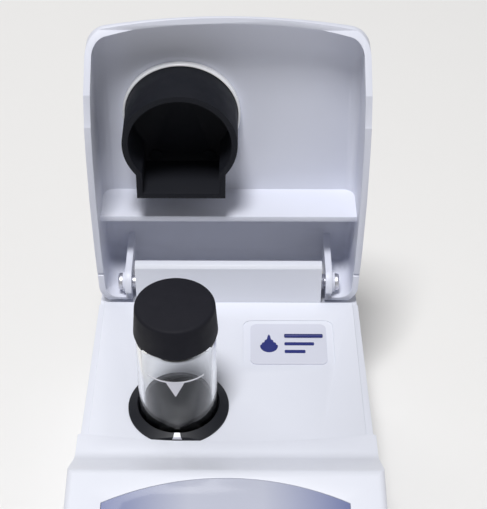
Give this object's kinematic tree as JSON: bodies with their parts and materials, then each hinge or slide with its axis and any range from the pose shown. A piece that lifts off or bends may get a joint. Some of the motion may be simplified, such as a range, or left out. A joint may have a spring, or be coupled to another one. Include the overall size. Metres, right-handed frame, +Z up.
{
  "type": "portable turbidity meter",
  "caption": "Portable turbidity meter with an open hinged lid, a capped glass vial in its measuring well, a tilted display and keys.",
  "frame": {"origin": "on the table, under the middle of the object's box with the lid open", "axes": "+Z up, +Y from the front of the key panel towards the hinge, +X to the right seen from the front"},
  "size_m": [0.094, 0.2234, 0.151],
  "materials": {
    "housing_white": "fine satin moulded plastic",
    "lid_white": "satin moulded plastic",
    "collar_white": "smooth white plastic",
    "seal_grey": "soft grey elastomer",
    "matt_black": "light-absorbing matt black",
    "label_film": "printed film",
    "lens_glass": "clear",
    "liner_white": "soft white liner",
    "diode": "moulded epoxy",
    "circuit_board": "solder mask",
    "display_glass": "glossy tinted window",
    "key_rubber": "satin silicone",
    "tray_plastic": "moulded",
    "cell_wrap": "plain shrink wrap",
    "plated_steel": "nickel plated",
    "foot_rubber": "matt"
  },
  "bodies": {
    "housing": {"upper_shell": "housing_white", "lower_shell": "housing_white", "shell_gasket": "seal_grey", "label_plate": "label_film", "cell_well": "matt_black", "well_index_mark": "collar_white", "well_seal": "matt_black", "optics_block": "matt_black", "source_lens": "lens_glass", "source_led": "diode", "transmit_detector": "diode", "scatter_detector": "diode", "optics_board": "circuit_board", "main_board": "circuit_board", "display_module": "display_glass", "display_window": "display_glass", "keypad_mat": "key_rubber", "battery_tray": "tray_plastic", "battery_cell_1": "cell_wrap", "battery_cell_2": "cell_wrap", "battery_cell_3": "cell_wrap", "battery_cell_4": "cell_wrap", "battery_contact_rear": "plated_steel", "battery_contact_front": "plated_steel", "case_screw_1": "plated_steel", "case_screw_2": "plated_steel", "case_screw_3": "plated_steel", "case_screw_4": "plated_steel", "foot_1": "foot_rubber", "foot_2": "foot_rubber", "foot_3": "foot_rubber", "foot_4": "foot_rubber", "data_port": "tray_plastic", "hinge_pin_left": "plated_steel", "hinge_pin_right": "plated_steel", "hinge_spring": "plated_steel"},
    "lid": {"lid_shell": "lid_white", "shield_collar": "collar_white", "light_shield": "matt_black", "shield_screw_left": "matt_black", "shield_screw_right": "matt_black"},
    "vial": {"vial_glass": "lens_glass", "vial_mark": "collar_white"},
    "vial_lid": {"vial_cap": "matt_black", "cap_liner": "liner_white"},
    "battery_hatch": {"battery_door": "housing_white"},
    "port_flap": {"port_cover": "seal_grey"},
    "key_1_body": {"key_1": "key_rubber"},
    "key_2_body": {"key_2": "key_rubber"},
    "key_3_body": {"key_3": "key_rubber"},
    "key_4_body": {"key_4": "key_rubber"},
    "key_5_body": {"key_5": "key_rubber"},
    "key_6_body": {"key_6": "key_rubber"},
    "key_7_body": {"key_7": "key_rubber"},
    "key_8_body": {"key_8": "key_rubber"}
  },
  "joints": [
    {"name": "lid_hinge", "type": "hinge", "parent": "housing", "child": "lid", "pos_m": [0, 0.08679, 0.0539], "axis": [1, 0, 0], "range_deg": [0, 92.5]},
    {"name": "vial_seat", "type": "slide", "parent": "housing", "child": "vial", "axis": [0, 0, 1], "range_m": [-0.0245, 0]},
    {"name": "cap_turn", "type": "hinge", "parent": "vial", "child": "vial_lid", "pos_m": [-0.01565, 0.03173, 0.089], "axis": [0, 0, 1], "range_deg": [0, 540]},
    {"name": "battery_door_slide", "type": "slide", "parent": "housing", "child": "battery_hatch", "axis": [0, -1, 0], "range_m": [0, 0.004]},
    {"name": "port_cover_flap", "type": "hinge", "parent": "housing", "child": "port_flap", "pos_m": [0.0264, 0.09254, 0.0297], "axis": [-1, 0, 0], "range_deg": [0, 95]},
    {"name": "key_1_press", "type": "slide", "parent": "housing", "child": "key_1_body", "axis": [0, 0.1137, -0.9935], "range_m": [0, 0.0006], "stiffness_N_per_m": 600, "springref_m": -0.0003},
    {"name": "key_2_press", "type": "slide", "parent": "housing", "child": "key_2_body", "axis": [0, 0.1137, -0.9935], "range_m": [0, 0.0006], "stiffness_N_per_m": 600, "springref_m": -0.0003},
    {"name": "key_3_press", "type": "slide", "parent": "housing", "child": "key_3_body", "axis": [0, 0.1137, -0.9935], "range_m": [0, 0.0006], "stiffness_N_per_m": 600, "springref_m": -0.0003},
    {"name": "key_4_press", "type": "slide", "parent": "housing", "child": "key_4_body", "axis": [0, 0.1137, -0.9935], "range_m": [0, 0.0006], "stiffness_N_per_m": 600, "springref_m": -0.0003},
    {"name": "key_5_press", "type": "slide", "parent": "housing", "child": "key_5_body", "axis": [0, 0.1137, -0.9935], "range_m": [0, 0.0006], "stiffness_N_per_m": 600, "springref_m": -0.0003},
    {"name": "key_6_press", "type": "slide", "parent": "housing", "child": "key_6_body", "axis": [0, 0.1137, -0.9935], "range_m": [0, 0.0006], "stiffness_N_per_m": 600, "springref_m": -0.0003},
    {"name": "key_7_press", "type": "slide", "parent": "housing", "child": "key_7_body", "axis": [0, 0.1137, -0.9935], "range_m": [0, 0.0006], "stiffness_N_per_m": 600, "springref_m": -0.0003},
    {"name": "key_8_press", "type": "slide", "parent": "housing", "child": "key_8_body", "axis": [0, 0.1137, -0.9935], "range_m": [0, 0.0006], "stiffness_N_per_m": 600, "springref_m": -0.0003}
  ],
  "couplings": [
    {"joint": "vial_seat", "follows": "lid_hinge", "m_per_rad": -0.015052}
  ]
}
